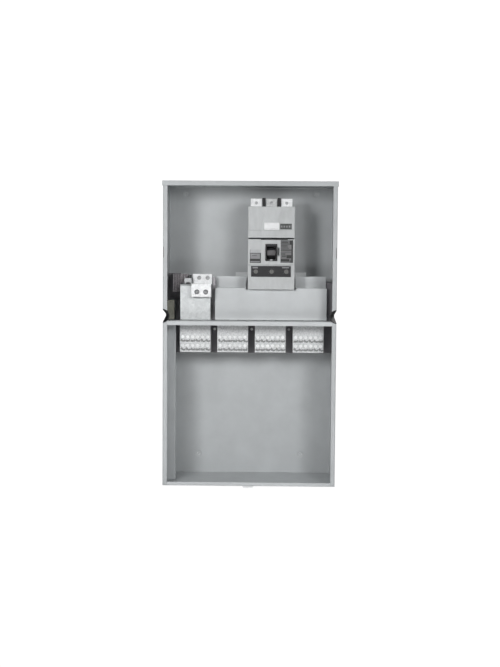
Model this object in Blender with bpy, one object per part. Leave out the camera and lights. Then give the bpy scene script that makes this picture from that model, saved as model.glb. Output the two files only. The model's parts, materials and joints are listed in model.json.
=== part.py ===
"""Subpanel enclosure: a wall-mounted sheet-steel box with a breaker, bus shroud, neutral riser and lug blocks.

The origin is the centre of the back face. +Z is up and the open front faces -Y.
Dimensions are in millimetres here and are turned into metres where a mesh is made.
"""

import math

import bmesh
import bpy
from mathutils import Matrix, Vector

MM = 0.001

# Enclosure
WIDTH = 508.0
HEIGHT = 894.0
DEPTH = 203.2
SHEET = 1.9
GAP = 0.35
BEND_RADIUS = 1.2
SIDE_FLANGE = 13.0
WELD_FLANGE = 15.0
BOTTOM_FLANGE = 11.0
CAP_LIP = 14.0
HALF_W = WIDTH / 2
HALF_H = HEIGHT / 2
WALL_TOP = HALF_H - SHEET - GAP
WALL_FOOT = -HALF_H + SHEET + GAP
INNER_X = HALF_W - SHEET - GAP

# Half-round pockets in the side edges
POCKET_Z = 54.0
POCKET_RADIUS = 18.0
POCKET_TIP = 3.0
POCKET_WALL = 2.0
POCKET_LENGTH = 94.0

# Wall-mounting holes: (x, z)
MOUNT_HOLES = [(-201.0, 426.0), (201.0, 426.0), (-160.0, -386.0), (160.0, -386.0)]
MOUNT_HOLE_RADIUS = 4.5
MOUNT_DISH_RADIUS = 11.0

# Cross rail at mid height
RAIL_FOOT = 27.0
RAIL_TOP = 40.0
RAIL_LEG = 58.0

# Breaker
BREAKER_X = 62.5
BREAKER_WIDTH = 139.0
BREAKER_FOOT = 132.2
BREAKER_TOP = 378.5
BREAKER_BACK = -40.4
BREAKER_SPLIT = -92.0
BREAKER_FRONT = -142.0
POLE_PITCH = 45.5
LINE_COVER_FOOT = 286.0
LINE_COVER_STEP = 308.0
MID_COVER_TOP = 282.0
MID_COVER_FOOT = 205.4
HANDLE_AXIS = (62.5, -118.0, 241.0)
HANDLE_HALF_W = 12.5
HANDLE_WELL_HALF_W = 14.0
HANDLE_DRUM = 19.0
HANDLE_REACH = 43.0
TRIP_BUTTON = (84.0, 244.5)
ADJUSTER_Z = 185.5
ADJUSTER_X = (17.0, 64.0, 107.5)

# Bus compartment
SHROUD_X = (-105.0, 230.0)
SHROUD_FOOT = RAIL_TOP + GAP
SHROUD_FRONT = -125.0
SHROUD_BACK = -74.2
SHROUD_TOP = 136.5
SHROUD_WALL = 2.4
UPSTAND_TOP = 172.0
NOTCH_X = (-12.0, 137.0)
NOTCH_FLOOR = 131.6
STRAP_PLANE = (-79.6, -73.6)
BOARD_PLANE = (-73.2, -61.0)
BLOCK_X = {"neutral": -164.0, "phase_a": -51.5, "phase_b": 61.5, "phase_c": 175.5}
BLOCK_WIDTH = 92.0
BLOCK_FOOT = -57.0
BLOCK_TOP = 30.0
BLOCK_FRONT = -125.0
BLOCK_BACK = -80.0
SCREW_ROWS = (-11.0, -37.0)
SCREW_PITCH = 15.0
SCREW_COLUMNS = 6
PORT_Y = -103.0
PORT_RADIUS = 6.2
PORT_DEPTH = 53.0

# Neutral riser
RISER_X = (-208.0, -118.0)
RISER_FRONT = -136.0
RISER_TOP = 144.0
RISER_THICKNESS = 6.0

MATERIALS = {
    "enclosure_paint": ((0.50, 0.52, 0.53), 0.45, 0.0),
    "pocket_black": ((0.02, 0.02, 0.02), 0.6, 0.0),
    "breaker_case": ((0.55, 0.56, 0.57), 0.55, 0.0),
    "breaker_black": ((0.025, 0.025, 0.027), 0.5, 0.0),
    "insulator_black": ((0.02, 0.02, 0.022), 0.6, 0.0),
    "insulator_grey": ((0.09, 0.085, 0.09), 0.7, 0.0),
    "lug_aluminium": ((0.80, 0.81, 0.82), 0.35, 1.0),
    "bus_metal": ((0.68, 0.70, 0.71), 0.42, 1.0),
    "zinc_steel": ((0.62, 0.63, 0.64), 0.4, 1.0),
    "dark_steel": ((0.06, 0.065, 0.065), 0.5, 1.0),
    "olive_chromate": ((0.20, 0.20, 0.15), 0.5, 0.6),
    "label_white": ((0.82, 0.83, 0.84), 0.5, 0.0),
    "label_dark": ((0.13, 0.14, 0.14), 0.5, 0.0),
    "adjuster_grey": ((0.45, 0.44, 0.42), 0.5, 0.0),
}


def clear_scene():
    for obj in list(bpy.data.objects):
        bpy.data.objects.remove(obj, do_unlink=True)


def material(name):
    found = bpy.data.materials.get(name)
    if found:
        return found
    colour, roughness, metallic = MATERIALS[name]
    made = bpy.data.materials.new(name)
    made.use_nodes = True
    shader = made.node_tree.nodes["Principled BSDF"]
    shader.inputs["Base Color"].default_value = (*colour, 1.0)
    shader.inputs["Roughness"].default_value = roughness
    shader.inputs["Metallic"].default_value = metallic
    return made


def new_object(name, points, faces, finish, origin=None):
    """One closed mesh from points in millimetres, its origin at `origin` or at the middle of its box."""
    if origin is None:
        low = [min(p[i] for p in points) for i in range(3)]
        high = [max(p[i] for p in points) for i in range(3)]
        origin = [(a + b) / 2 for a, b in zip(low, high)]
    base = Vector(origin)
    mesh = bpy.data.meshes.new(name)
    mesh.from_pydata([(Vector(p) - base) * MM for p in points], [], faces)
    bm = bmesh.new()
    bm.from_mesh(mesh)
    bmesh.ops.recalc_face_normals(bm, faces=bm.faces)
    bm.to_mesh(mesh)
    bm.free()
    obj = bpy.data.objects.new(name, mesh)
    obj.location = base * MM
    bpy.context.scene.collection.objects.link(obj)
    if finish:
        mesh.materials.append(material(finish))
    return obj


def box(name, xs, ys, zs, finish=None, origin=None):
    points = [(x, y, z) for x in xs for y in ys for z in zs]
    faces = [(0, 1, 3, 2), (4, 6, 7, 5), (0, 4, 5, 1), (2, 3, 7, 6), (0, 2, 6, 4), (1, 5, 7, 3)]
    return new_object(name, points, faces, finish, origin)


AXES = {"x": (1, 2, 0), "y": (0, 2, 1), "z": (0, 1, 2)}


def prism(name, outline, axis, span, finish=None, origin=None):
    """The closed outline swept along an axis. The outline's two values are the other two axes in order."""
    first, second, along = AXES[axis]
    points = []
    for end in span:
        for a, b in outline:
            point = [0.0, 0.0, 0.0]
            point[first], point[second], point[along] = a, b, end
            points.append(tuple(point))
    n = len(outline)
    faces = [tuple(range(n)), tuple(range(2 * n - 1, n - 1, -1))]
    faces += [(i, (i + 1) % n, n + (i + 1) % n, n + i) for i in range(n)]
    return new_object(name, points, faces, finish, origin)


def ring(centre, radius, sides, start=0.0):
    return [
        (
            centre[0] + radius * math.cos(start + 2 * math.pi * i / sides),
            centre[1] + radius * math.sin(start + 2 * math.pi * i / sides),
        )
        for i in range(sides)
    ]


def bent_outline(path, thickness, radius=BEND_RADIUS, steps=3):
    """Outline of a sheet that follows a centre-line path, with a round bend at each inner corner."""
    line = []
    for i, here in enumerate(path):
        here = Vector(here)
        if i == 0:
            way = (Vector(path[1]) - here).normalized()
            line.append((here, Vector((-way.y, way.x))))
            continue
        if i == len(path) - 1:
            way = (here - Vector(path[i - 1])).normalized()
            line.append((here, Vector((-way.y, way.x))))
            continue
        into = (here - Vector(path[i - 1])).normalized()
        out = (Vector(path[i + 1]) - here).normalized()
        turn = into.angle_signed(out)
        bend = radius + thickness / 2
        tangent = bend * math.tan(abs(turn) / 2)
        start = here - into * tangent
        side = Vector((-into.y, into.x)) * (-1 if turn > 0 else 1)
        centre = start + side * bend
        for k in range(steps + 1):
            spin = Matrix.Rotation(-turn * k / steps, 2)
            arm = spin @ (start - centre)
            line.append((centre + arm, spin @ Vector((-into.y, into.x))))
    left = [tuple(p + n * thickness / 2) for p, n in line]
    right = [tuple(p - n * thickness / 2) for p, n in reversed(line)]
    return left + right


def bores(name, holes, sides=10):
    """One cutter made of many cylinders. Each hole is (axis, centre of the two other axes, span, radius)."""
    points, faces = [], []
    for axis, centre, span, radius in holes:
        first, second, along = AXES[axis]
        start = len(points)
        for end in span:
            for a, b in ring(centre, radius, sides, math.pi / sides):
                point = [0.0, 0.0, 0.0]
                point[first], point[second], point[along] = a, b, end
                points.append(tuple(point))
        faces.append(tuple(start + i for i in range(sides)))
        faces.append(tuple(start + 2 * sides - 1 - i for i in range(sides)))
        for i in range(sides):
            j = (i + 1) % sides
            faces.append((start + i, start + j, start + sides + j, start + sides + i))
    return new_object(name, points, faces, None)


def soften(obj, width, segments=2):
    bevel = obj.modifiers.new("Soft edges", "BEVEL")
    bevel.width = width * MM
    bevel.segments = segments
    bevel.limit_method = "ANGLE"
    bevel.angle_limit = math.radians(50)
    return obj


def boolean(obj, other, operation):
    other.hide_render = True
    other.display_type = "WIRE"
    other.hide_viewport = False
    step = obj.modifiers.new(operation.title(), "BOOLEAN")
    step.operation = operation
    step.solver = "EXACT"
    step.object = other
    return obj


def cut(obj, *cutters):
    for cutter in cutters:
        boolean(obj, cutter, "DIFFERENCE")
    return obj


def join(obj, *others):
    for other in others:
        boolean(obj, other, "UNION")
    return obj


def shade(obj, angle=35):
    obj.data.shade_smooth()
    obj.data.set_sharp_from_angle(angle=math.radians(angle))
    return obj


def turned(name, profile, centre, finish, sides=24, origin=None):
    """A solid turned about an axis along Y through (x, z). The profile lists (radius, y), front to back."""
    points = []
    for radius, y in profile:
        points += [(x, y, z) for x, z in ring(centre, radius, sides)]
    rows = len(profile)
    faces = [tuple(range(sides)), tuple(range(rows * sides - 1, (rows - 1) * sides - 1, -1))]
    for r in range(rows - 1):
        for i in range(sides):
            j = (i + 1) % sides
            faces.append((r * sides + i, r * sides + j, (r + 1) * sides + j, (r + 1) * sides + i))
    return shade(new_object(name, points, faces, finish, origin))


def pocket_cone(name, side, extra, finish=None):
    """The tapered shape of an edge pocket, grown by `extra` all round."""
    slope = (POCKET_RADIUS - POCKET_TIP) / POCKET_LENGTH
    lead = 0.0 if finish else 5.0
    tail = extra - POCKET_WALL
    profile = [
        (POCKET_RADIUS + extra + slope * lead, -DEPTH - lead),
        (POCKET_TIP + extra - slope * tail, -DEPTH + POCKET_LENGTH + tail),
    ]
    return turned(name, profile, (side * (HALF_W - 0.2), POCKET_Z), finish)


def side_wall(side):
    """One bent side sheet: weld flange behind, web, and the narrow front flange."""
    label = "left" if side < 0 else "right"
    mid = SHEET / 2
    path = [
        (side * (INNER_X - WELD_FLANGE), -SHEET - GAP - mid),
        (side * (HALF_W - mid), -SHEET - GAP - mid),
        (side * (HALF_W - mid), -DEPTH + mid),
        (side * (HALF_W - SIDE_FLANGE), -DEPTH + mid),
    ]
    outline = bent_outline(path, SHEET)
    wall = prism(f"{label}_side_wall", outline, "z", (WALL_FOOT, WALL_TOP), "enclosure_paint")
    pocket_cutter = pocket_cone(f"cut_{label}_pocket", side, POCKET_WALL + GAP)
    slot = sorted((side * (HALF_W + 4), side * (HALF_W - 3.2)))
    slot_cutter = box(f"cut_{label}_slot", slot, (-DEPTH - 4, -DEPTH + 7), (224, 255))
    return cut(wall, pocket_cutter, slot_cutter)


def edge_pocket(side):
    """Half-cone moulded scoop that lines the notch in a side edge, open to the front and outwards."""
    label = "left" if side < 0 else "right"
    pocket = pocket_cone(f"{label}_edge_pocket", side, POCKET_WALL, "pocket_black")
    hollow = pocket_cone(f"cut_{label}_pocket_hollow", side, 0.0)
    outside = box(
        f"cut_{label}_pocket_outside",
        sorted((side * (HALF_W - 0.2), side * (HALF_W + 40))),
        (-DEPTH - 10, -DEPTH + POCKET_LENGTH + 10),
        (POCKET_Z - 40, POCKET_Z + 40),
    )
    return cut(pocket, hollow, outside)


def back_panel():
    panel = box("back_panel", (-INNER_X, INNER_X), (-SHEET, 0), (WALL_FOOT, WALL_TOP), "enclosure_paint")
    holes = [("y", (x, z), (-SHEET - 3, 3), MOUNT_HOLE_RADIUS) for x, z in MOUNT_HOLES]
    dishes = [("y", (x, z), (-SHEET - 3, -SHEET + 0.9), MOUNT_DISH_RADIUS) for x, z in MOUNT_HOLES]
    return cut(panel, bores("cut_mount_holes", holes, 20), bores("cut_mount_dishes", dishes, 20))


def top_cap():
    """Drip cap: a shallow tray turned over the tops of the walls, with lips in front and at the sides."""
    out_x = HALF_W + GAP + SHEET
    front = -DEPTH - GAP - SHEET
    cap = box("top_drip_cap", (-out_x, out_x), (front, 0), (HALF_H - CAP_LIP, HALF_H), "enclosure_paint")
    soften(cap, 0.7, 1)
    inside = box(
        "cut_cap_inside",
        (-HALF_W - GAP, HALF_W + GAP),
        (-DEPTH - GAP, 20),
        (HALF_H - CAP_LIP - 10, HALF_H - SHEET),
    )
    return cut(cap, inside)


def bottom_end():
    path = [
        (-GAP, -HALF_H + SHEET / 2),
        (-DEPTH + SHEET / 2, -HALF_H + SHEET / 2),
        (-DEPTH + SHEET / 2, -HALF_H + BOTTOM_FLANGE),
    ]
    end = prism("bottom_end_wall", bent_outline(path, SHEET), "x", (-HALF_W, HALF_W), "enclosure_paint")
    reliefs = []
    for side in (-1, 1):
        xs = sorted((side * (HALF_W - SIDE_FLANGE - GAP), side * (HALF_W + 3)))
        zs = (WALL_FOOT - GAP, WALL_FOOT + 20)
        reliefs.append(box(f"cut_corner_{side}", xs, (-DEPTH - 3, -DEPTH + 4), zs))
    return cut(end, *reliefs)


def seal_tab():
    path = [
        (-DEPTH + 17, -HALF_H - GAP - 0.95),
        (-DEPTH + 1.2, -HALF_H - GAP - 0.95),
        (-DEPTH + 1.2, -HALF_H - 5.6),
    ]
    tab = prism("seal_tab", bent_outline(path, SHEET, 0.6), "x", (-17, 13), "zinc_steel")
    hole = bores("cut_seal_hole", [("z", (-2, -DEPTH + 10), (-HALF_H - 8, -HALF_H + 2), 2.6)], 16)
    return cut(tab, hole)


def cross_rail():
    """The rail that the upper and lower covers meet on: a front flange and a leg turned back at its top."""
    path = [
        (-DEPTH + SHEET / 2, RAIL_FOOT),
        (-DEPTH + SHEET / 2, RAIL_TOP - SHEET / 2),
        (-DEPTH + RAIL_LEG, RAIL_TOP - SHEET / 2),
    ]
    reach = HALF_W - SIDE_FLANGE - GAP
    rail = prism("cross_rail", bent_outline(path, SHEET), "x", (-reach, reach), "enclosure_paint")
    ends = [
        prism(
            f"cut_rail_end_{side}",
            ring((side * HALF_W, POCKET_Z), POCKET_RADIUS + POCKET_WALL + 2 * GAP, 24),
            "y",
            (-DEPTH - 5, -DEPTH + POCKET_LENGTH + 4),
        )
        for side in (-1, 1)
    ]
    return cut(rail, *ends)


def wiring_barrier():
    """Vertical angle down the left wall of the lower compartment, with a narrow lip at its free edge."""
    wall = -INNER_X + 0.75
    path = [(wall, -98), (wall, -128), (-222.8, -128), (-222.8, -119)]
    outline = bent_outline(path, 1.5, 0.8)
    return prism("left_wiring_barrier", outline, "z", (WALL_FOOT + GAP, RAIL_FOOT - GAP), "enclosure_paint")


def build_enclosure():
    back_panel()
    for side in (-1, 1):
        side_wall(side)
        edge_pocket(side)
    top_cap()
    bottom_end()
    seal_tab()
    cross_rail()
    wiring_barrier()


def breaker_supports():
    """Channel welded to the back panel, and the plate on it that the breaker is screwed to."""
    back = -SHEET - GAP - SHEET / 2
    front = BREAKER_BACK + 2.6 + SHEET / 2 + GAP
    left, right = BREAKER_X - 50, BREAKER_X + 50
    path = [(left + 14, back), (left, back), (left, front), (right, front), (right, back), (right - 14, back)]
    prism("breaker_channel", bent_outline(path, SHEET), "z", (76, 370), "enclosure_paint")
    wide = (-46.0, 171.0)
    narrow = (BREAKER_X - 58, BREAKER_X + 58)
    outline = [
        (wide[0], 108),
        (wide[1], 108),
        (wide[1], 184.5),
        (narrow[1], 184.5),
        (narrow[1], 372),
        (narrow[0], 372),
        (narrow[0], 184.5),
        (wide[0], 184.5),
    ]
    thickness = (BREAKER_BACK + 0.4, BREAKER_BACK + 2.6)
    plate = prism("breaker_mounting_plate", outline, "y", thickness, "enclosure_paint")
    return plate


def breaker_case():
    xs = (BREAKER_X - BREAKER_WIDTH / 2, BREAKER_X + BREAKER_WIDTH / 2)
    base_xs = (xs[0] + 0.8, xs[1] - 0.8)
    base_zs = (BREAKER_FOOT, BREAKER_TOP)
    base = box("breaker_base", base_xs, (BREAKER_SPLIT, BREAKER_BACK), base_zs, "breaker_black")
    soften(base, 1.2)

    ys = (BREAKER_FRONT, BREAKER_SPLIT - GAP)
    line_ys = (BREAKER_FRONT + 3, ys[1])
    line = box("line_terminal_cover", xs, line_ys, (LINE_COVER_FOOT, BREAKER_TOP), "breaker_case")
    soften(line, 1.5)
    step = box("add_line_cover_step", xs, (BREAKER_FRONT, ys[1] - 1), (LINE_COVER_FOOT, LINE_COVER_STEP))
    join(line, soften(step, 1.2))

    middle = box("middle_cover", xs, ys, (MID_COVER_FOOT, MID_COVER_TOP), "breaker_case")
    soften(middle, 1.2)
    handle_well = handle_opening("cut_handle_well", (-160, -95), (219.5, 262.5))
    tx, tz = TRIP_BUTTON
    trip_well = box("cut_trip_well", (tx - 2.9, tx + 2.9), (-160, -126), (tz - 12, tz + 12))
    cut(middle, handle_well, trip_well)

    load = box("load_end_cover", xs, ys, (BREAKER_FOOT, MID_COVER_FOOT - GAP), "breaker_case")
    soften(load, 1.2)
    wells = [("y", (x, ADJUSTER_Z), (-160, -128), 4.0) for x in ADJUSTER_X]
    cut(load, bores("cut_adjuster_wells", wells, 16))


def handle_opening(name, depths, heights):
    """Cutter for the opening that the handle swings in."""
    x = HANDLE_AXIS[0]
    return box(name, (x - HANDLE_WELL_HALF_W, x + HANDLE_WELL_HALF_W), depths, heights)


def handle_escutcheon():
    front = BREAKER_FRONT - GAP
    frame = box("handle_escutcheon", (45, 80), (front - 4, front), (217, 267.5), "breaker_black")
    soften(frame, 1.4)
    return cut(frame, handle_opening("cut_escutcheon", (-160, -140), (221.8, 260.2)))


def toggle_handle():
    """Drum on the pivot, with the grip standing out of it. The origin is on the pivot, along X."""
    x, y, z = HANDLE_AXIS
    width = (x - HANDLE_HALF_W, x + HANDLE_HALF_W)
    drum = prism("toggle_handle", ring((y, z), HANDLE_DRUM, 28), "x", width, "breaker_black", HANDLE_AXIS)
    grip = box("add_handle_grip", width, (y - HANDLE_REACH, y - 6), (z - 8, z + 8))
    soften(grip, 1.6)
    return shade(join(drum, grip))


def trip_button():
    x, z = TRIP_BUTTON
    button = box(
        "push_to_trip_button", (x - 2.4, x + 2.4), (-143.6, -131), (z - 9, z + 9), "label_dark", (x, -137, z)
    )
    return soften(button, 0.6)


def trip_adjusters():
    front = BREAKER_FRONT - GAP
    plate = box("trip_adjuster_plate", (3, 121), (front - 2, front), (170, 202), "breaker_black")
    soften(plate, 0.5, 1)
    holes = [("y", (x, ADJUSTER_Z), (-160, -130), 4.2) for x in ADJUSTER_X]
    cut(plate, bores("cut_adjuster_holes", holes, 16))
    face = front - 2 - GAP
    for label, x in zip(("left", "middle", "right"), ADJUSTER_X):
        profile = [(5.4, face - 3.6), (6.4, face - 2.8), (6.6, face), (3.3, face), (3.3, face + 12)]
        knob = turned(
            f"trip_adjuster_{label}", profile, (x, ADJUSTER_Z), "adjuster_grey", 20, (x, face, ADJUSTER_Z)
        )
        slot_zs = (ADJUSTER_Z - 8, ADJUSTER_Z + 8)
        cut(knob, box(f"cut_knob_slot_{label}", (x - 0.8, x + 0.8), (face - 6, face - 2.0), slot_zs))


def breaker_labels():
    front = BREAKER_FRONT - GAP
    box("right_label", (90, 127), (front - 0.5, front), (212, 279), "label_dark")
    box("left_label", (-1, 32), (front - 0.5, front), (211, 251), "label_dark")
    upper = BREAKER_FRONT + 3 - GAP
    box("blank_nameplate", (41, 85), (upper - 0.6, upper), (310, 331), "label_white")
    box("small_rating_label", (88, 123), (upper - 0.5, upper), (311, 328), "label_dark")


def line_lugs():
    """Aluminium line lugs above the case, each with a wire bore from above and a set-screw well in front."""
    for index, label in enumerate("abc"):
        x = BREAKER_X + (index - 1) * POLE_PITCH
        zs = (BREAKER_TOP + GAP, 404)
        lug = box(f"line_lug_{label}", (x - 17, x + 17), (-112, -78), zs, "lug_aluminium")
        soften(lug, 1.0)
        holes = [("z", (x, -93), (BREAKER_TOP + 6, 420), 9.5), ("y", (x, 391), (-120, -106), 4.6)]
        cut(lug, bores(f"cut_line_lug_{label}", holes, 16))
    for index, label in enumerate(("left", "right")):
        x = BREAKER_X + (index - 0.5) * POLE_PITCH
        zs = (BREAKER_TOP + GAP, 406)
        barrier = box(f"phase_barrier_{label}", (x - 4.6, x + 4.6), (-118, -66), zs, "breaker_black")
        soften(barrier, 0.8)


def build_breaker():
    breaker_supports()
    breaker_case()
    handle_escutcheon()
    toggle_handle()
    trip_button()
    trip_adjusters()
    breaker_labels()
    line_lugs()


def bus_shroud():
    """Wide cover over the bus, open behind and below, with an upstand at the back of its top ledge.

    The ledge and the upstand are notched for the breaker and its straps.
    """
    profile = [
        (SHROUD_BACK, SHROUD_FOOT),
        (SHROUD_FRONT, SHROUD_FOOT),
        (SHROUD_FRONT, SHROUD_TOP),
        (SHROUD_BACK - SHROUD_WALL, SHROUD_TOP),
        (SHROUD_BACK - SHROUD_WALL, UPSTAND_TOP),
        (SHROUD_BACK, UPSTAND_TOP),
    ]
    shroud = prism("bus_shroud", profile, "x", SHROUD_X, "enclosure_paint")
    soften(shroud, 0.9, 2)
    inside = box(
        "cut_shroud_inside",
        (SHROUD_X[0] + SHROUD_WALL, SHROUD_X[1] - SHROUD_WALL),
        (SHROUD_FRONT + SHROUD_WALL, 0),
        (SHROUD_FOOT - 20, SHROUD_TOP - SHROUD_WALL),
    )
    notch = box("cut_shroud_notch", NOTCH_X, (-160, 0), (NOTCH_FLOOR, 200))
    return cut(shroud, inside, notch)


def load_straps():
    """Flat bars from the breaker's load end, down behind the lug blocks. The outer two step sideways."""
    half = 12.5
    top = BREAKER_FOOT - GAP
    foot = -44.0
    for index, label in enumerate("abc"):
        start = BREAKER_X + (index - 1) * POLE_PITCH
        end = BLOCK_X[f"phase_{label}"]
        if abs(end - start) < 5:
            outline = [(start - half, top), (start + half, top), (start + half, foot), (start - half, foot)]
        else:
            way = 1 if end > start else -1
            outline = [
                (start - way * half, top),
                (start + way * half, top),
                (start + way * half, 100),
                (end + way * half, 100),
                (end + way * half, foot),
                (end - way * half, foot),
                (end - way * half, 75),
                (start - way * half, 75),
            ]
        prism(f"load_strap_{label}", outline, "y", STRAP_PLANE, "bus_metal")


def lug_blocks():
    """Multi-tap blocks: a row of wire ports from below, each with two set-screw wells in front."""
    for label, x in BLOCK_X.items():
        block = box(
            f"lug_block_{label}",
            (x - BLOCK_WIDTH / 2, x + BLOCK_WIDTH / 2),
            (BLOCK_FRONT, BLOCK_BACK),
            (BLOCK_FOOT, BLOCK_TOP),
            "lug_aluminium",
        )
        holes = []
        for column in range(SCREW_COLUMNS):
            cx = x + (column - (SCREW_COLUMNS - 1) / 2) * SCREW_PITCH
            holes += [("y", (cx, z), (BLOCK_FRONT - 3, BLOCK_FRONT + 5), 5.0) for z in SCREW_ROWS]
            holes.append(("z", (cx, PORT_Y), (BLOCK_FOOT - 3, BLOCK_FOOT + PORT_DEPTH), PORT_RADIUS))
        cut(block, bores(f"cut_lug_block_{label}", holes, 10))


def insulators():
    board = box("insulator_board", (-226, 250), BOARD_PLANE, (-62, 100), "insulator_black")
    soften(board, 1.0, 1)
    box("left_insulator_board", (-250.5, -214), (-60, -48), (100.6, 180), "insulator_black")
    box("riser_insulating_strip", (-114.4, -105.6), (-99.5, -84), (RAIL_TOP + GAP, 168), "insulator_black")
    box("right_insulating_block", (231, 250.5), (-108, -74), (RAIL_TOP + GAP, 153), "insulator_black")
    number = 0
    for x in (-205.0, 205.0):
        for z in (-44.0, 82.0):
            number += 1
            profile = [(9, BOARD_PLANE[1] + GAP), (9, -34), (7, -32), (9, -30), (9, -SHEET - GAP)]
            turned(f"board_standoff_{number}", profile, (x, z), "insulator_grey", 16)
    gaps = [(-107.8, 1), (5.0, 2), (118.5, 3)]
    for x, label in gaps:
        profile = [(2.6, BOARD_PLANE[0] - 3.2), (4.0, BOARD_PLANE[0] - 2.2), (4.2, BOARD_PLANE[0] - GAP)]
        turned(f"board_screw_{label}", profile, (x, 10.5), "zinc_steel", 14)


def ribbed_standoff():
    """Moulded block beside and above the riser's corner, with upright ribs on its front."""
    outline = [(-234, 123), (-209, 123), (-209, 148.5), (-187, 148.5), (-187, 178), (-234, 178)]
    block = prism("ribbed_standoff", outline, "y", (-100, -60.4), "insulator_grey")
    soften(block, 1.2, 2)
    grooves = [
        box(f"cut_standoff_groove_{i}", (x - 1.3, x + 1.3), (-110, -95), (115, 190))
        for i, x in enumerate((-228.0, -220.5, -213.0, -202.0, -194.5))
    ]
    return cut(block, *grooves)


def neutral_riser():
    """One bent bar: front plate, top leg and a rear leg that runs down behind the neutral lug block."""
    rear = sum(STRAP_PLANE) / 2
    path = [(RISER_FRONT, RAIL_TOP + 1.0), (RISER_FRONT, RISER_TOP), (rear, RISER_TOP), (rear, -44.0)]
    riser = prism("neutral_riser", bent_outline(path, RISER_THICKNESS, 3.0, 4), "x", RISER_X, "bus_metal")
    return shade(riser)


def neutral_lugs():
    front = RISER_FRONT - RISER_THICKNESS / 2 - GAP
    lug = box("neutral_lug_front", (-174, -115), (front - 22, front), (109, 149), "lug_aluminium")
    soften(lug, 1.6)
    holes = []
    for x in (-157.0, -131.0):
        holes.append(("y", (x, 124), (front - 30, front - 17.2), 7.6))
        holes.append(("z", (x, front - 9), (113, 160), 7.0))
    cut(lug, bores("cut_neutral_lug_front", holes, 18))

    seat = RISER_TOP + RISER_THICKNESS / 2 + GAP
    rear_lug = box("neutral_lug_rear", (-173.5, -114.8), (-108, -80), (seat, 178), "lug_aluminium")
    soften(rear_lug, 1.6)
    holes = []
    for x in (-154.0, -128.5):
        holes.append(("y", (x, 166), (-120, -100), 6.4))
        holes.append(("z", (x, -91), (152, 190), 6.4))
    cut(rear_lug, bores("cut_neutral_lug_rear", holes, 18))

    link = box("bonding_block", (-197, -175.5), (-127, -104), (seat, 165), "zinc_steel")
    soften(link, 1.0, 1)
    head = prism("bonding_bolt_upper", ring((-182.2, -115), 6.4, 6), "z", (165 + GAP, 174), "dark_steel")
    soften(head, 0.7, 1)
    head = prism("bonding_bolt_lower", ring((-186.0, -133.4), 5.6, 6), "z", (seat, seat + 5), "dark_steel")
    soften(head, 0.7, 1)


def grounding_strap():
    """Chromated strap on the left wall, turned out towards the riser."""
    wall = -INNER_X + 1.3
    path = [(wall, -64), (wall, -106), (-228.5, -106)]
    return prism("grounding_strap", bent_outline(path, 2.0), "z", (RAIL_TOP + GAP, 98.5), "olive_chromate")


def build_bus():
    bus_shroud()
    load_straps()
    lug_blocks()
    insulators()
    ribbed_standoff()
    neutral_riser()
    neutral_lugs()
    grounding_strap()


clear_scene()
build_enclosure()
build_breaker()
build_bus()
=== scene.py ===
"""Looks for the subpanel enclosure: camera, stage, light, procedural materials and the small visible pieces.

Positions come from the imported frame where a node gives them. Piece sizes are in millimetres and are turned
into metres by MM. The camera, the stage and the lights are in metres.
"""

import json
import math

import bmesh
import bpy
from mathutils import Matrix, Vector

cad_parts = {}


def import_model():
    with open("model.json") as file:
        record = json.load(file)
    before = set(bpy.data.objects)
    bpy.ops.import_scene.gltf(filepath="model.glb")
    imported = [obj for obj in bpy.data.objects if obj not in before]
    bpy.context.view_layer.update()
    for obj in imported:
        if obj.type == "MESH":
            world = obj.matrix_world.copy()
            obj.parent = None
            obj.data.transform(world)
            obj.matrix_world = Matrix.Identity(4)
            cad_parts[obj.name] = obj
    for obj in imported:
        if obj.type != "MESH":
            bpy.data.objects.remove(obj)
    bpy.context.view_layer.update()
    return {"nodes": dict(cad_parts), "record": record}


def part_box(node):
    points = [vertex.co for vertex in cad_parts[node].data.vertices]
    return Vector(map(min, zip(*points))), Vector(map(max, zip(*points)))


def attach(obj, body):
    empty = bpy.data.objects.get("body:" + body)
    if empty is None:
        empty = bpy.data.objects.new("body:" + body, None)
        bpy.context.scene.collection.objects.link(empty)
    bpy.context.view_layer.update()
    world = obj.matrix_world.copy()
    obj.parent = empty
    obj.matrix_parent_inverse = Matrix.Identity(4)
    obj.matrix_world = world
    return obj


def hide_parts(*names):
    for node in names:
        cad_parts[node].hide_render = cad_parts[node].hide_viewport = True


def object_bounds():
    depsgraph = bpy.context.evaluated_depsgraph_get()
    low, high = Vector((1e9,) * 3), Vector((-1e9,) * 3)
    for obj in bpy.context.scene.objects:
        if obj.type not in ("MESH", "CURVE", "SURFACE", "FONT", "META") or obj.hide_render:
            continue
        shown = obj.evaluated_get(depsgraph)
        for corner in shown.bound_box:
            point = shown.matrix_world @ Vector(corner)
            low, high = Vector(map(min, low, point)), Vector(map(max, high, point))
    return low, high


MM = 0.001
PER_METRE = 1000
ROOT = "enclosure"

# Camera: where it stands, what it looks at, and its lens on a 36 mm wide sensor
CAMERA_AT = (0.0387, -3.0456, 0.1574)
CAMERA_AIM = (0.0004, -0.1016, -0.0014)
CAMERA_LENS = 70.1
CAMERA_ROLL = 0.4

# Stage: a pale floor that fades into the white surround
FLOOR_RADIUS = 2.4
FLOOR_SOLID = 0.7
FLOOR_DROP = 0.0006

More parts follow.
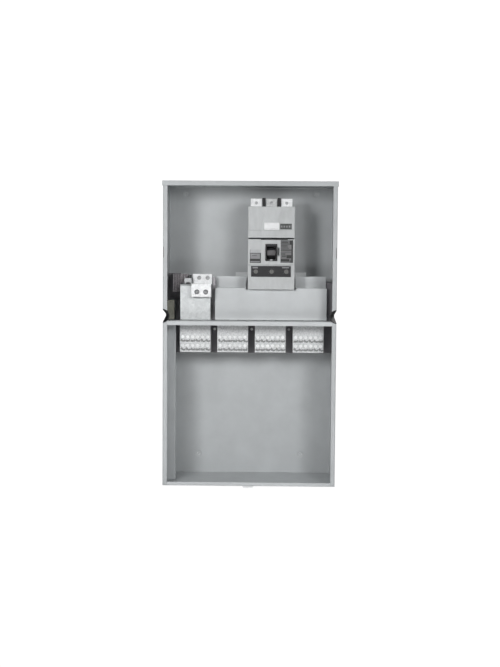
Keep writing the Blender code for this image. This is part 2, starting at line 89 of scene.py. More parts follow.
# Lights: name, place, size across and up, power, aim
LIGHTS = [
    ("key_left", (-0.85, -1.75, 0.50), (0.30, 0.40), 10.1, (0.0, 0.0, 0.0)),
    ("key_soft", (-0.67, -1.70, 0.42), (0.45, 0.45), 4.25, (0.0, 0.0, 0.0)),
    ("side_left", (-1.60, -1.80, 0.45), (0.50, 0.60), 1.0, (0.0, 0.0, 0.0)),
    ("fill_far", (0.90, -2.40, 0.60), (0.40, 0.50), 9.2, (0.0, 0.0, 0.0)),
    ("fill_outer", (1.20, -2.40, 0.60), (0.30, 0.40), 3.2, (0.0, 0.0, 0.0)),
    ("fill_near", (0.78, -1.50, 0.45), (0.25, 0.40), 3.5, (0.0, 0.0, 0.0)),
    ("side_right", (1.50, -1.60, 0.50), (0.40, 0.50), 0.9, (0.0, 0.0, 0.0)),
    ("floor_bounce", (0.0, -1.15, -0.33), (1.2, 0.25), 1.9, (0.0, 0.0, -0.3)),
    ("back_soft", (0.9, 2.4, 1.4), (2.0, 1.6), 26.0, (0.0, 0.0, 0.0)),
]
WORLD_LIGHT = 0.02

# Strength of the white that the camera sees, the floor's share of it, and the floor's fineness
WHITE_GLOW = 1.05
FLOOR_LIFT = 0.96
FLOOR_SEGMENTS = 96

# Mounting holes in the back panel, and the shallow dish pressed round each
MOUNT_HOLES = [(-201.0, 426.0), (201.0, 426.0), (-160.0, -386.0), (160.0, -386.0)]
DISH_RADIUS = 11.0
DISH_DEPTH = 2.2

# Multi-tap lug blocks: two rows of six set screws, with two slanted dark bars below each that are painted
# shade for a clamp slot
BLOCKS = ("neutral", "phase_a", "phase_b", "phase_c")
SCREW_COLUMNS = 6
SCREW_PITCH = 15.0
SCREW_ROWS = (-11.0, -37.0)

# Set screws of the lugs: where they stand across and up, and how far each is turned
FRONT_LUG_SCREWS = (-157.0, -131.0)
FRONT_LUG_SCREW_Z = 124.0
REAR_LUG_SCREWS = ((-154.0, 0.1), (-128.5, 0.6))
REAR_LUG_SCREW_Z = 166.0
LINE_LUG_SCREWS = (("a", 0.2), ("b", 0.7), ("c", 0.4))
LINE_LUG_SCREW_Z = 391.0

# Fineness of turned pieces, and the angle in degrees above which an edge is sharp
SCREW_SIDES = 24
DOME_SIDES = 28
DOME_STEPS = 8
SHARP_ANGLE = 30

# Height of the toggle's pivot, and the heights of the cover slot in each side wall
HANDLE_Z = 241.0
SIDE_SLOT = (224.3, 254.7)

# How far printed marks stand proud of the face below them, and how far they go into it
PRINT_PROUD = 0.08
PRINT_SUNK = 0.1

# Nodes whose coat is not the one that their slot names
FINISH_OF_NODE = {
    "back_panel": "panel_paint",
    "bus_shroud": "shroud_paint",
    # The bottom end wall takes the lighter shroud enamel: painted light, for the brighter light on the box's
    # floor.
    "bottom_end_wall": "shroud_paint",
    # The breaker mounting plate takes a lighter copy of the grey enamel: painted light, for the light the
    # plate catches.
    "breaker_mounting_plate": "plate_painted_light",
    "bonding_block": "link_zinc",
    "cross_rail": "shroud_paint",
    "lug_block_neutral": "block_aluminium",
    "lug_block_phase_a": "block_aluminium",
    "lug_block_phase_b": "block_aluminium",
    "lug_block_phase_c": "block_aluminium",
    "line_lug_b": "middle_lug",
    "riser_insulating_strip": "strip_black",
}


# Node helpers


def add_node(mat, kind, **settings):
    node = mat.node_tree.nodes.new(kind)
    for key, value in settings.items():
        setattr(node, key, value)
    return node


def link(mat, source, target):
    mat.node_tree.links.new(source, target)


def object_coords(mat, stretch=(1, 1, 1)):
    """Object coordinates in millimetres, stretched by a factor on each axis."""
    source = add_node(mat, "ShaderNodeTexCoord")
    mapping = add_node(mat, "ShaderNodeMapping")
    mapping.inputs["Scale"].default_value = [PER_METRE * s for s in stretch]
    link(mat, source.outputs["Object"], mapping.inputs["Vector"])
    return mapping.outputs["Vector"]


def noise(mat, vector, size, detail=3.0, rough=0.55, distortion=0.0):
    """Noise whose features are about `size` millimetres across."""
    node = add_node(mat, "ShaderNodeTexNoise")
    node.inputs["Scale"].default_value = 1.0 / size
    node.inputs["Detail"].default_value = detail
    node.inputs["Roughness"].default_value = rough
    node.inputs["Distortion"].default_value = distortion
    link(mat, vector, node.inputs["Vector"])
    return node.outputs["Fac"]


def cell_tones(mat, vector, size):
    """A random tone for each cell, with cells about `size` millimetres across."""
    node = add_node(mat, "ShaderNodeTexVoronoi", feature="F1")
    node.inputs["Scale"].default_value = 1.0 / size
    link(mat, vector, node.inputs["Vector"])
    return node.outputs["Color"]


def spread(mat, value, from_low, from_high, to_low=0.0, to_high=1.0):
    """A value mapped from one range to another and held inside it."""
    node = add_node(mat, "ShaderNodeMapRange")
    node.clamp = True
    node.inputs["From Min"].default_value = from_low
    node.inputs["From Max"].default_value = from_high
    node.inputs["To Min"].default_value = to_low
    node.inputs["To Max"].default_value = to_high
    link(mat, value, node.inputs["Value"])
    return node.outputs["Result"]


def blend_colours(mat, factor, first, second):
    """Mix of two colours, each a tuple or a socket."""
    node = add_node(mat, "ShaderNodeMix", data_type="RGBA")
    link(mat, factor, node.inputs[0])
    for socket, colour in ((node.inputs[6], first), (node.inputs[7], second)):
        if isinstance(colour, tuple):
            socket.default_value = (*colour, 1.0)
        else:
            link(mat, colour, socket)
    return node.outputs[2]


def bump(mat, height, depth, strength=1.0, below=None):
    """A bump of `depth` millimetres, on top of another bump's normal."""
    node = add_node(mat, "ShaderNodeBump")
    node.inputs["Strength"].default_value = strength
    node.inputs["Distance"].default_value = depth * MM
    link(mat, height, node.inputs["Height"])
    if below is not None:
        link(mat, below, node.inputs["Normal"])
    return node.outputs["Normal"]


def scaled(shade, factor, lift=0.0):
    """A colour made darker or lighter by a factor, with no channel over one."""
    return tuple(min(1.0, c * factor + lift) for c in shade)


def start_material(name, metallic=0.0, coat=0.0):
    mat = bpy.data.materials.new(name)
    mat.use_nodes = True
    shader = mat.node_tree.nodes["Principled BSDF"]
    shader.inputs["Metallic"].default_value = metallic
    shader.inputs["Coat Weight"].default_value = coat
    return mat, shader


# Materials


def dish_height(mat, centres):
    """One far from the centres, falling to zero at each centre over the radius of a pressed dish."""
    source = add_node(mat, "ShaderNodeTexCoord")
    height = None
    for x, z in centres:
        flatten = add_node(mat, "ShaderNodeVectorMath", operation="MULTIPLY")
        flatten.inputs[1].default_value = (PER_METRE, 0, PER_METRE)
        link(mat, source.outputs["Object"], flatten.inputs[0])
        away = add_node(mat, "ShaderNodeVectorMath", operation="DISTANCE")
        away.inputs[1].default_value = (x, 0, z)
        link(mat, flatten.outputs["Vector"], away.inputs[0])
        rise = spread(mat, away.outputs["Value"], 1.0, DISH_RADIUS)
        if height is None:
            height = rise
        else:
            lower = add_node(mat, "ShaderNodeMath", operation="MINIMUM")
            link(mat, height, lower.inputs[0])
            link(mat, rise, lower.inputs[1])
            height = lower.outputs["Value"]
    return height


def painted_steel(name, shade=(0.47, 0.49, 0.50), dishes=()):
    """Light grey baked enamel on sheet steel: orange peel, slow waves, dust and fine rub marks."""
    mat, shader = start_material(name)
    place = object_coords(mat)
    cloud = noise(mat, place, 90, 4, 0.6)
    dust = noise(mat, place, 9, 5, 0.7)
    tone = blend_colours(mat, spread(mat, cloud, 0.3, 0.7), scaled(shade, 0.93), scaled(shade, 1.05))
    tone = blend_colours(mat, spread(mat, dust, 0.60, 0.86, 0.0, 0.5), tone, scaled(shade, 0.84))
    rub = noise(mat, object_coords(mat, (0.25, 1, 1)), 2.2, 3, 0.6, 0.4)
    tone = blend_colours(mat, spread(mat, rub, 0.70, 0.80, 0.0, 0.35), tone, scaled(shade, 1.25))
    link(mat, tone, shader.inputs["Base Color"])
    link(mat, spread(mat, dust, 0.3, 0.7, 0.38, 0.52), shader.inputs["Roughness"])
    waves = bump(mat, noise(mat, place, 120, 2), 0.9, 0.5)
    if dishes:
        waves = bump(mat, dish_height(mat, dishes), DISH_DEPTH, 1.0, waves)
    peel = bump(mat, noise(mat, place, 1.6, 2, 0.5), 0.035, 0.55, waves)
    link(mat, peel, shader.inputs["Normal"])
    return mat


def moulded_plastic(name, shade, roughness=0.55, grain=0.7, depth=0.03):
    """Moulded thermoset: fine spark-eroded grain, faint flow marks and a little dust or rubbing."""
    mat, shader = start_material(name)
    place = object_coords(mat)
    flow = noise(mat, object_coords(mat, (1, 1, 0.4)), 22, 4, 0.6, 0.6)
    fine = noise(mat, place, grain, 3, 0.6)
    tone = blend_colours(mat, spread(mat, flow, 0.3, 0.7), scaled(shade, 0.90), scaled(shade, 1.08))
    wear = noise(mat, place, 3.4, 5, 0.75)
    tone = blend_colours(mat, spread(mat, wear, 0.62, 0.82, 0.0, 0.45), tone, scaled(shade, 1.3, 0.01))
    link(mat, tone, shader.inputs["Base Color"])
    link(mat, spread(mat, wear, 0.3, 0.75, roughness - 0.06, roughness + 0.1), shader.inputs["Roughness"])
    link(mat, bump(mat, fine, depth, 0.6), shader.inputs["Normal"])
    return mat


def mottled_moulding(name, dark, light):
    """Glass-filled moulding with a coarse speckle of lighter fibre and a rough skin."""
    mat, shader = start_material(name)
    place = object_coords(mat)
    speckle = noise(mat, place, 4.5, 5, 0.75, 0.6)
    tone = blend_colours(mat, spread(mat, speckle, 0.40, 0.66), dark, light)
    fine = noise(mat, place, 1.1, 3, 0.6)
    tone = blend_colours(mat, spread(mat, fine, 0.58, 0.75, 0.0, 0.5), tone, scaled(dark, 0.7))
    link(mat, tone, shader.inputs["Base Color"])
    link(mat, spread(mat, speckle, 0.3, 0.7, 0.6, 0.78), shader.inputs["Roughness"])
    link(mat, bump(mat, speckle, 0.12, 0.6), shader.inputs["Normal"])
    return mat


def plated_metal(name, dark, light, rough, patch, metallic, streak=(1, 1, 1)):
    """Plated bar or extrusion: mottled patches, draw lines along one axis, small pits and stains."""
    mat, shader = start_material(name, metallic)
    place = object_coords(mat)
    patches = noise(mat, place, patch, 5, 0.65, 0.8)
    flakes = cell_tones(mat, place, patch * 0.55)
    lines = noise(mat, object_coords(mat, streak), 0.8, 3, 0.6)
    tone = blend_colours(mat, spread(mat, patches, 0.32, 0.68), dark, light)
    tone = blend_colours(mat, spread(mat, flakes, 0.15, 0.85, 0.0, 0.22), tone, scaled(dark, 0.8))
    stain = noise(mat, place, 4.0, 6, 0.75)
    tone = blend_colours(mat, spread(mat, stain, 0.66, 0.84, 0.0, 0.55), tone, scaled(dark, 0.5))
    link(mat, tone, shader.inputs["Base Color"])
    link(mat, spread(mat, patches, 0.3, 0.7, rough[1], rough[0]), shader.inputs["Roughness"])
    drawn = bump(mat, lines, 0.03, 0.5)
    link(mat, bump(mat, stain, 0.05, 0.4, drawn), shader.inputs["Normal"])
    return mat


def chromated(name):
    """Olive chromate over zinc, with slow colour drift and a worn, greyer skin on top."""
    mat, shader = start_material(name, 0.35)
    place = object_coords(mat)
    drift = noise(mat, place, 14, 4, 0.6, 1.0)
    tone = blend_colours(mat, spread(mat, drift, 0.3, 0.7), (0.25, 0.25, 0.21), (0.37, 0.368, 0.31))
    worn = noise(mat, place, 2.4, 5, 0.7)
    tone = blend_colours(mat, spread(mat, worn, 0.6, 0.8, 0.0, 0.6), tone, (0.40, 0.40, 0.37))
    link(mat, tone, shader.inputs["Base Color"])
    link(mat, spread(mat, worn, 0.3, 0.7, 0.36, 0.56), shader.inputs["Roughness"])
    link(mat, bump(mat, worn, 0.03, 0.5), shader.inputs["Normal"])
    return mat


def printed_foil(name, shade, roughness=0.42):
    """Printed adhesive foil: even ink with a faint paper tooth and slight fading."""
    mat, shader = start_material(name, 0.0, 0.15)
    place = object_coords(mat)
    fade = noise(mat, place, 16, 3, 0.6)
    tooth = noise(mat, place, 0.5, 2, 0.5)
    tone = blend_colours(mat, spread(mat, fade, 0.3, 0.7), scaled(shade, 0.9), shade)
    tone = blend_colours(mat, spread(mat, tooth, 0.55, 0.8, 0.0, 0.3), tone, scaled(shade, 0.8))
    link(mat, tone, shader.inputs["Base Color"])
    link(mat, spread(mat, tooth, 0.3, 0.7, roughness - 0.05, roughness + 0.08), shader.inputs["Roughness"])
    link(mat, bump(mat, tooth, 0.01, 0.4), shader.inputs["Normal"])
    return mat


def make_materials():
    satin = (0.4, 0.55)
    bright = (0.3, 0.45)
    drawn_up = (1, 1, 0.06)
    return {
        "enclosure_paint": painted_steel("grey_enamel"),
        "panel_paint": painted_steel("panel_enamel", dishes=MOUNT_HOLES),
        "shroud_paint": painted_steel("shroud_enamel", (0.55, 0.57, 0.58)),
        "pocket_black": moulded_plastic("pocket_moulding", (0.018, 0.018, 0.019), 0.6),
        "breaker_case": moulded_plastic("case_moulding", (0.50, 0.515, 0.52), 0.5, 0.8, 0.03),
        "breaker_black": moulded_plastic("black_moulding", (0.016, 0.016, 0.018), 0.62, 0.6, 0.025),
        "grip_grey": moulded_plastic("grip_moulding", (0.115, 0.112, 0.116), 0.6, 0.7, 0.03),
        "insulator_black": moulded_plastic("insulator_sheet", (0.15, 0.145, 0.155), 0.66, 1.1, 0.05),
        "strip_black": moulded_plastic("strip_moulding", (0.38, 0.37, 0.39), 0.66, 1.1, 0.05),
        "insulator_grey": mottled_moulding("ribbed_moulding", (0.22, 0.205, 0.215), (0.46, 0.43, 0.45)),
        "lug_aluminium": plated_metal(
            "plated_lug", (0.74, 0.75, 0.76), (0.95, 0.96, 0.97), satin, 9, 0.2, drawn_up
        ),
        "block_aluminium": plated_metal(
            "tap_block", (0.43, 0.44, 0.45), (0.76, 0.77, 0.775), satin, 5, 0.35
        ),
        "middle_lug": plated_metal(
            "dull_lug", (0.46, 0.47, 0.47), (0.66, 0.67, 0.67), satin, 5, 0.4, drawn_up
        ),
        "bus_metal": plated_metal(
            "plated_bar", (0.54, 0.56, 0.565), (0.68, 0.70, 0.705), (0.45, 0.6), 15, 0.3, drawn_up
        ),
        "zinc_steel": plated_metal("zinc_plate", (0.78, 0.79, 0.80), (1.0, 1.0, 1.0), bright, 17, 0.25),
        "screw_mid": plated_metal("used_zinc", (0.34, 0.345, 0.35), (0.52, 0.53, 0.54), bright, 3, 0.5),
        "slot_shade": plated_metal(
            "slot_shade", (0.12, 0.125, 0.125), (0.34, 0.345, 0.345), (0.5, 0.65), 2, 0.2
        ),
        "screw_dull": plated_metal("dull_zinc", (0.26, 0.265, 0.27), (0.40, 0.405, 0.41), bright, 5, 0.35),
        "dark_steel": plated_metal(
            "black_oxide", (0.04, 0.042, 0.042), (0.10, 0.105, 0.105), (0.4, 0.6), 3, 0.5
        ),
        "link_zinc": plated_metal("link_zinc", (0.40, 0.41, 0.42), (0.60, 0.61, 0.62), satin, 4, 0.3),
        # Lighter copy of the grey enamel: painted light on the breaker mounting plate.
        "plate_painted_light": painted_steel("plate_lit_enamel", (0.66, 0.68, 0.69)),
        "olive_chromate": chromated("olive_chromate_coat"),
        "label_white": printed_foil("white_foil", (0.84, 0.85, 0.86)),
        "label_dark": printed_foil("dark_foil", (0.07, 0.075, 0.075)),
        "label_black": printed_foil("black_foil", (0.025, 0.026, 0.026)),
        "label_mid": printed_foil("grey_foil", (0.25, 0.25, 0.26)),
        "label_smoke": printed_foil("smoke_foil", (0.15, 0.15, 0.155)),
        "label_pale": printed_foil("pale_foil", (0.46, 0.47, 0.48)),
        "adjuster_grey": moulded_plastic("adjuster_moulding", (0.16, 0.16, 0.155), 0.6),
    }


def dress_nodes(frame, materials):
    """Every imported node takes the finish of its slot, or its own coat where one is listed."""
    for entry in frame["record"]["subparts"]:
        node = entry["node"]
        finish = materials[FINISH_OF_NODE.get(node, entry["material_slot"])]
        for slot in frame["nodes"][node].material_slots:
            slot.material = finish


# Mesh helpers


def piece(name, bm, materials, body=ROOT):
    """Finish a bmesh in millimetres as a piece that rides on a body."""
    bmesh.ops.recalc_face_normals(bm, faces=bm.faces)
    bmesh.ops.scale(bm, vec=(MM, MM, MM), verts=bm.verts)
    mesh = bpy.data.meshes.new(name)
    bm.to_mesh(mesh)
    bm.free()
    for mat in materials:
        mesh.materials.append(mat)
    mesh.shade_smooth()
    mesh.set_sharp_from_angle(angle=math.radians(SHARP_ANGLE))
    obj = bpy.data.objects.new(name, mesh)
    bpy.context.scene.collection.objects.link(obj)
    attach(obj, body)
    return obj


def add_block(bm, low, high, bevel=0.0, index=0):
    """A box between two corners with rounded edges."""
    made = bmesh.ops.create_cube(bm, size=1.0)
    verts = made["verts"]
    for v in verts:
        for i in range(3):
            v.co[i] = (low[i] + high[i]) / 2 + v.co[i] * (high[i] - low[i])
    faces = {f for v in verts for f in v.link_faces}
    for f in faces:
        f.material_index = index
    if bevel:
        edges = list({e for v in verts for e in v.link_edges})
        made = bmesh.ops.bevel(bm, geom=edges, offset=bevel, segments=2, affect="EDGES", profile=0.5)
        for f in made["faces"]:
            f.material_index = index


def add_turned(bm, centre, profile, sides):
    """A closed solid turned about an axis along Y through (x, z). The profile lists (radius, y)."""
    around = angles(sides)
    rings = [[bm.verts.new(round_point(centre, radius, a, y)) for a in around] for radius, y in profile]
    bm.faces.new(rings[0])
    bm.faces.new(list(reversed(rings[-1])))
    add_bands(bm, rings)


def add_bands(bm, rings):
    """Faces between each ring of points and the next."""
    for near, far in zip(rings, rings[1:]):
        for i in range(len(near)):
            j = (i + 1) % len(near)
            bm.faces.new((near[i], near[j], far[j], far[i]))


def add_socket_screw(bm, centre, face_y, radius, length, hex_radius, turn):
    """A set screw seen from the front: chamfered rim, flat crown and a hexagonal socket."""
    around = angles(SCREW_SIDES)
    profile = [
        (radius, face_y + length),
        (radius, face_y + 0.8),
        (radius - 0.8, face_y),
        (hex_radius * 1.22, face_y),
    ]
    rings = [[round_point(centre, r, a, y) for a in around] for r, y in profile]
    depth = min(length * 0.7, hex_radius * 1.4)
    for y in (face_y + 0.35, face_y + depth):
        rings.append([hex_point(centre, hex_radius, a, turn, y) for a in around])
    made = [[bm.verts.new(p) for p in ring] for ring in rings]
    add_bands(bm, made)
    bm.faces.new(made[-1])
    bm.faces.new(list(reversed(made[0])))


def angles(sides):
    """Evenly spaced angles round a full turn."""
    return [2 * math.pi * i / sides for i in range(sides)]


def round_point(centre, radius, angle, y):
    """A point at a radius and an angle from an axis along Y through (x, z)."""
    return Vector((centre[0] + radius * math.cos(angle), y, centre[1] + radius * math.sin(angle)))


def hex_point(centre, across, angle, turn, y):
    """A point on a hexagon in the direction of `angle`; `across` is half its width over flats."""
    local = (angle - turn + math.pi / 6) % (math.pi / 3) - math.pi / 6
    return round_point(centre, across / math.cos(local), angle, y)


def millimetres(node):
    """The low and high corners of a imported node's box."""
    low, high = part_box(node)
    return [c * PER_METRE for c in low], [c * PER_METRE for c in high]


def across_middle(low, high):
    """The X halfway across a box."""
    return (low[0] + high[0]) / 2


# Pieces


def add_slanted_bar(bm, centre, face_y, length, height, tilt):
    """A short bar lying on a face, turned by `tilt` radians about the face's normal."""
    before = set(bm.verts)
    half = Vector((length / 2, 0, height / 2))
    low = (centre[0] - half.x, face_y - 0.12, centre[1] - half.z)
    high = (centre[0] + half.x, face_y + 0.15, centre[1] + half.z)
    add_block(bm, low, high)
    made = [v for v in bm.verts if v not in before]
    turn = Matrix.Rotation(tilt, 4, "Y")
    bmesh.ops.rotate(bm, verts=made, cent=(centre[0], face_y, centre[1]), matrix=turn)


def lug_block_screws(materials):
    """Twelve set screws in each multi-tap block, each turned to its own angle, over slanted dark bars of
    painted shade that stand for the clamp slots.
    """
    for number, label in enumerate(BLOCKS):
        low, high = millimetres(f"lug_block_{label}")
        screws = bmesh.new()
        slots = bmesh.new()
        for column in range(SCREW_COLUMNS):
            x = across_middle(low, high) + (column - (SCREW_COLUMNS - 1) / 2) * SCREW_PITCH
            for row, z in enumerate(SCREW_ROWS):
                sway = math.sin(5.1 * column + 2.3 * row + 1.7 * number)
                add_socket_screw(screws, (x, z), low[1] - 1.6, 4.85, 6.0, 1.9 + 0.5 * sway, 0.9 * sway)
                # Two slanted dark bars below each screw: painted shade standing for its clamp slot.
                add_slanted_bar(slots, (x - 2.4, z - 11.6 + sway), low[1], 8.5, 6.4, 0.5 + 0.4 * sway)
                add_slanted_bar(slots, (x + 4.6, z - 12.6 - sway), low[1], 7.5, 4.8, -0.8 + 0.4 * sway)
        piece(f"set_screws_{label}", screws, [materials["zinc_steel"]])
        piece(f"clamp_slot_shade_{label}", slots, [materials["slot_shade"]])


def add_domed_screw(bm, centre, face_y, radius, rise):
    """A rounded screw head standing proud of a face."""
    profile = [(radius, face_y + 2.5), (radius, face_y)]
    for step in range(1, DOME_STEPS):
        share = 1 - step / DOME_STEPS
        profile.append((radius * share, face_y - rise * (1 - share * share)))
    add_turned(bm, centre, profile, DOME_SIDES)


def lug_screws(materials):
    """Set screws of the neutral lugs and the line lugs."""
    bm = bmesh.new()
    face = millimetres("neutral_lug_front")[0][1]
    for x in FRONT_LUG_SCREWS:
        add_domed_screw(bm, (x, FRONT_LUG_SCREW_Z), face - 0.4, 7.4, 4.2)
    piece("neutral_front_screws", bm, [materials["screw_dull"]])
    bm = bmesh.new()
    face = millimetres("neutral_lug_rear")[0][1]
    for x, turn in REAR_LUG_SCREWS:
        add_socket_screw(bm, (x, REAR_LUG_SCREW_Z), face - 0.5, 6.1, 5.0, 3.3, turn)
    piece("neutral_rear_screws", bm, [materials["screw_mid"]])
    bm = bmesh.new()
    for label, turn in LINE_LUG_SCREWS:
        low, high = millimetres(f"line_lug_{label}")
        centre = (across_middle(low, high), LINE_LUG_SCREW_Z)
        add_socket_screw(bm, centre, low[1] + 1.0, 4.4, 4.6, 2.4, turn)
    piece("line_set_screws", bm, [materials["link_zinc"]])


def mount_slugs(materials):
    """A painted slug left in each mounting hole of the back panel."""
    bm = bmesh.new()
    for centre in MOUNT_HOLES:
        add_turned(bm, centre, [(4.2, -0.15), (4.2, -0.7), (3.7, -0.9)], SCREW_SIDES)
    piece("mount_hole_slugs", bm, [materials["panel_paint"]])


def handle_details(materials):
    """Grey cap with grip ribs on the toggle's tip."""
    low, high = millimetres("toggle_handle")
    tip = low[1]
    bm = bmesh.new()
    add_block(bm, (low[0] + 0.6, tip - 0.25, HANDLE_Z - 7.4), (high[0] - 0.6, tip + 0.6, HANDLE_Z + 7.4), 0.2)
    for i in range(6):
        z = HANDLE_Z - 6.0 + i * 2.4
        add_block(bm, (low[0] + 1.6, tip - 0.9, z - 0.45), (high[0] - 1.6, tip + 0.4, z + 0.45), 0.2)
    piece("toggle_grip_ribs", bm, [materials["grip_grey"]], "toggle")


def label_piece(name, node, marks, materials, plate):
    """A thin plate in a label's place, with raised printed marks.

    Each mark is (u0, v0, u1, v1, finish), in shares of the label's width and height. Later marks stand a
    little further out, so that none lies in the same plane as another.
    """
    low, high = millimetres(node)
    width, height = high[0] - low[0], high[2] - low[2]
    finishes = [plate] + sorted({m[4] for m in marks} - {plate})
    bm = bmesh.new()
    for layer, (u0, v0, u1, v1, finish) in enumerate(marks):
        corner_low = (low[0] + u0 * width, low[1] - 0.06 - 0.008 * layer, low[2] + v0 * height)
        corner_high = (low[0] + u1 * width, low[1] + PRINT_SUNK, low[2] + v1 * height)
        add_block(bm, corner_low, corner_high, 0.0, finishes.index(finish))
    # The plate comes last: plain blocks added after a bevel get their faces in an order that varies by run.
    add_block(bm, low, high, 0.18)
    made = piece(name, bm, [materials[f] for f in finishes])
    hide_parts(node)


def breaker_prints(materials):
    """Generic bars and fields in place of the breaker's four printed labels."""
    right = []
    for i in range(7):
        ink = "label_black" if i % 3 == 1 else "label_dark"
        start, end = 0.02 + 0.03 * (i % 2), 0.56 + 0.05 * (i * 5 % 4)
        right.append((start, 0.94 - 0.052 * i, end, 0.972 - 0.052 * i, ink))
    right += [
        (0.0, 0.545, 0.90, 0.585, "label_black"),
        (0.0, 0.46, 0.90, 0.485, "label_dark"),
        (0.87, 0.0, 1.0, 1.0, "label_black"),
        (0.72, 0.80, 0.87, 1.0, "label_black"),
        (0.02, 0.36, 0.38, 0.42, "label_dark"),
        (0.10, 0.25, 0.44, 0.33, "label_dark"),
        (0.48, 0.20, 0.86, 0.34, "label_black"),
        (0.0, 0.06, 0.70, 0.165, "label_black"),
        (0.74, 0.0, 0.90, 0.12, "label_dark"),
    ]
    label_piece("rating_panel", "right_label", right, materials, "label_smoke")
    left = [
        (0.0, 0.70, 1.0, 0.75, "label_dark"),
        (0.90, 0.0, 1.0, 0.75, "label_dark"),
        (0.0, 0.0, 0.05, 0.70, "label_dark"),
        (0.0, 0.14, 0.90, 0.31, "label_black"),
        (0.0, 0.0, 1.0, 0.05, "label_dark"),
        (0.05, 0.75, 1.0, 1.0, "label_pale"),
        (0.18, 0.52, 0.62, 0.56, "label_dark"),
    ]
    label_piece("accessory_panel", "left_label", left, materials, "label_mid")
    plain = [(0.05, 0.12, 0.95, 0.15, "label_pale")]
    label_piece("blank_plate", "blank_nameplate", plain, materials, "label_white")
    bars = [(0.08 + 0.22 * i, 0.34, 0.20 + 0.22 * i, 0.64, "label_mid") for i in range(4)]
    label_piece("type_panel", "small_rating_label", bars, materials, "label_dark")


def adjuster_prints(materials):
    """Tick marks round each adjuster, and two small blank fields on the black plate."""
    low, high = millimetres("trip_adjuster_plate")
    front, back = low[1] - PRINT_PROUD, low[1] + PRINT_SUNK
    bm = bmesh.new()
    for label in ("left", "middle", "right"):
        knob_low, knob_high = millimetres(f"trip_adjuster_{label}")
        x, z = across_middle(knob_low, knob_high), (knob_low[2] + knob_high[2]) / 2
        for i in range(9):
            a = math.radians(-30 + 30 * i)
            centre = (x + 9.2 * math.cos(a), z + 9.2 * math.sin(a))
            add_turned(bm, centre, [(0.55, front), (0.55, back)], 8)
    add_block(bm, (low[0] + 4, front, high[2] - 7), (low[0] + 20, back, high[2] - 2.5))
    add_block(bm, (high[0] - 26, front, high[2] - 6), (high[0] - 5, back, high[2] - 2.5))
    piece("adjuster_scale_marks", bm, [materials["label_mid"]])


def handle_marker(materials):
    """Pale oval below the toggle, on the escutcheon's lower edge."""
    low, high = millimetres("handle_escutcheon")
    x = across_middle(low, high)
    bm = bmesh.new()
    add_turned(bm, (x, low[2] + 3.0), [(1.5, low[1] - PRINT_PROUD), (2.0, low[1] + PRINT_SUNK)], 20)
    for v in bm.verts:
        v.co.x = x + (v.co.x - x) * 2.6
    piece("handle_marker", bm, [materials["label_pale"]])


def edge_slot_shade(materials):
    """Dark pieces at the back of the cover slots in the side walls' front corners: painted shade for the
    shaded inside of each slot.
    """
    bm = bmesh.new()
    low = millimetres("left_side_wall")[0]
    for x in (low[0] + 1.65, -low[0] - 1.65):
        add_block(bm, (x - 1.5, low[1] + 5.2, SIDE_SLOT[0]), (x + 1.5, low[1] + 6.8, SIDE_SLOT[1]), 0.2)
    piece("flange_slot_shade", bm, [materials["slot_shade"]])


def groove_shade_bar(materials):
    """Thin dark bar under the middle of the line cover: painted shade that stands for a pull groove."""
    low, high = millimetres("middle_cover")
    bm = bmesh.new()
    start, end = low[0] + 38, low[0] + 118
    add_block(bm, (start, low[1] - 0.12, high[2] - 2.4), (end, low[1] + 0.4, high[2] - 0.4), 0.1)
    piece("cover_groove_shade", bm, [materials["breaker_black"]])


# Stage, light and camera


def make_stage():
    """A round pale floor, solid under the object and faded out before its rim."""
    low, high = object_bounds()
    bm = bmesh.new()
    bmesh.ops.create_circle(bm, cap_ends=True, cap_tris=True, segments=FLOOR_SEGMENTS, radius=FLOOR_RADIUS)
    mesh = bpy.data.meshes.new("studio_floor")
    bm.to_mesh(mesh)
    bm.free()
    floor = bpy.data.objects.new("studio_floor", mesh)
    floor.location.z = low[2] - FLOOR_DROP
    bpy.context.scene.collection.objects.link(floor)
    mesh.materials.append(floor_material())


def floor_material():
    """White that glows for the camera only, and fades to clear before the rim."""
    mat, shader = start_material("floor_white")
    shader.inputs["Base Color"].default_value = (0.93, 0.93, 0.93, 1)
    shader.inputs["Roughness"].default_value = 0.9
    glow = add_node(mat, "ShaderNodeEmission")
    glow.inputs["Strength"].default_value = WHITE_GLOW
    path = add_node(mat, "ShaderNodeLightPath")
    lift = add_node(mat, "ShaderNodeMixShader")
    link(mat, spread(mat, path.outputs["Is Camera Ray"], 0, 1, 0.0, FLOOR_LIFT), lift.inputs["Fac"])
    link(mat, shader.outputs["BSDF"], lift.inputs[1])
    link(mat, glow.outputs["Emission"], lift.inputs[2])
    clear = add_node(mat, "ShaderNodeBsdfTransparent")
    fade = add_node(mat, "ShaderNodeMixShader")
    away = add_node(mat, "ShaderNodeVectorMath", operation="LENGTH")
    link(mat, add_node(mat, "ShaderNodeTexCoord").outputs["Object"], away.inputs[0])
    solid = spread(mat, away.outputs["Value"], FLOOR_SOLID, FLOOR_RADIUS * 0.95, 1.0, 0.0)
    link(mat, solid, fade.inputs["Fac"])
    link(mat, clear.outputs["BSDF"], fade.inputs[1])
    link(mat, lift.outputs["Shader"], fade.inputs[2])
    link(mat, fade.outputs["Shader"], mat.node_tree.nodes["Material Output"].inputs["Surface"])
    return mat


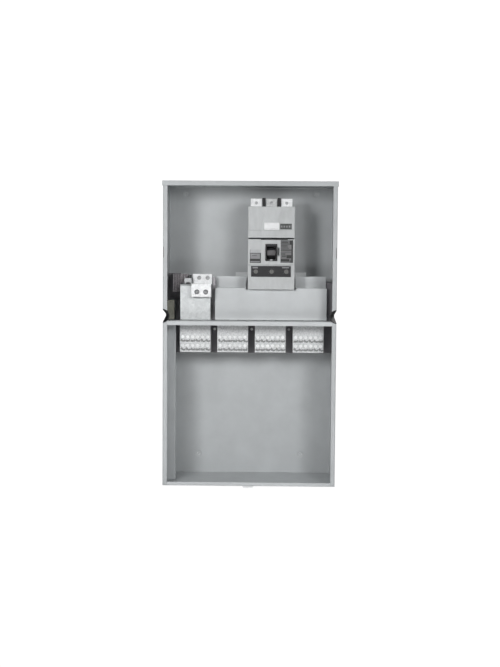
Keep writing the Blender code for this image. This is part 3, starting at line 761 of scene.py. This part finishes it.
def make_world():
    """White to the eye, dimmer as a light, so the inside of the box keeps its shade."""
    world = bpy.data.worlds.new("studio")
    bpy.context.scene.world = world
    world.use_nodes = True
    tree = world.node_tree
    tree.nodes.clear()
    seen = tree.nodes.new("ShaderNodeBackground")
    seen.inputs["Strength"].default_value = WHITE_GLOW
    seen.inputs["Color"].default_value = (1, 1, 1, 1)
    lit = tree.nodes.new("ShaderNodeBackground")
    lit.inputs["Color"].default_value = (0.94, 0.97, 1.0, 1)
    lit.inputs["Strength"].default_value = WORLD_LIGHT
    path = tree.nodes.new("ShaderNodeLightPath")
    mix = tree.nodes.new("ShaderNodeMixShader")
    out = tree.nodes.new("ShaderNodeOutputWorld")
    tree.links.new(path.outputs["Is Camera Ray"], mix.inputs["Fac"])
    tree.links.new(lit.outputs["Background"], mix.inputs[1])
    tree.links.new(seen.outputs["Background"], mix.inputs[2])
    tree.links.new(mix.outputs["Shader"], out.inputs["Surface"])


def aimed(place, target, roll=0.0):
    """Matrix that stands at `place` and looks at `target`, turned by `roll` degrees."""
    look = (Vector(target) - Vector(place)).to_track_quat("-Z", "Y").to_matrix().to_4x4()
    return Matrix.Translation(place) @ look @ Matrix.Rotation(math.radians(roll), 4, "Z")


def make_lights():
    for name, place, size, power, aim in LIGHTS:
        data = bpy.data.lights.new(name, "AREA")
        data.shape = "RECTANGLE"
        data.size, data.size_y = size
        data.energy = power
        light = bpy.data.objects.new(name, data)
        light.matrix_world = aimed(place, aim)
        bpy.context.scene.collection.objects.link(light)


def make_camera():
    data = bpy.data.cameras.new("camera")
    data.sensor_fit = "HORIZONTAL"
    data.sensor_width = 36.0
    data.lens = CAMERA_LENS
    camera = bpy.data.objects.new("camera", data)
    camera.matrix_world = aimed(CAMERA_AT, CAMERA_AIM, CAMERA_ROLL)
    bpy.context.scene.collection.objects.link(camera)
    bpy.context.scene.camera = camera
    bpy.context.scene.view_settings.view_transform = "Standard"


def main():
    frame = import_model()
    make_camera()
    make_world()
    make_lights()
    materials = make_materials()
    dress_nodes(frame, materials)
    lug_block_screws(materials)
    lug_screws(materials)
    mount_slugs(materials)
    handle_details(materials)
    handle_marker(materials)
    breaker_prints(materials)
    adjuster_prints(materials)
    edge_slot_shade(materials)
    groove_shade_bar(materials)
    make_stage()


main()
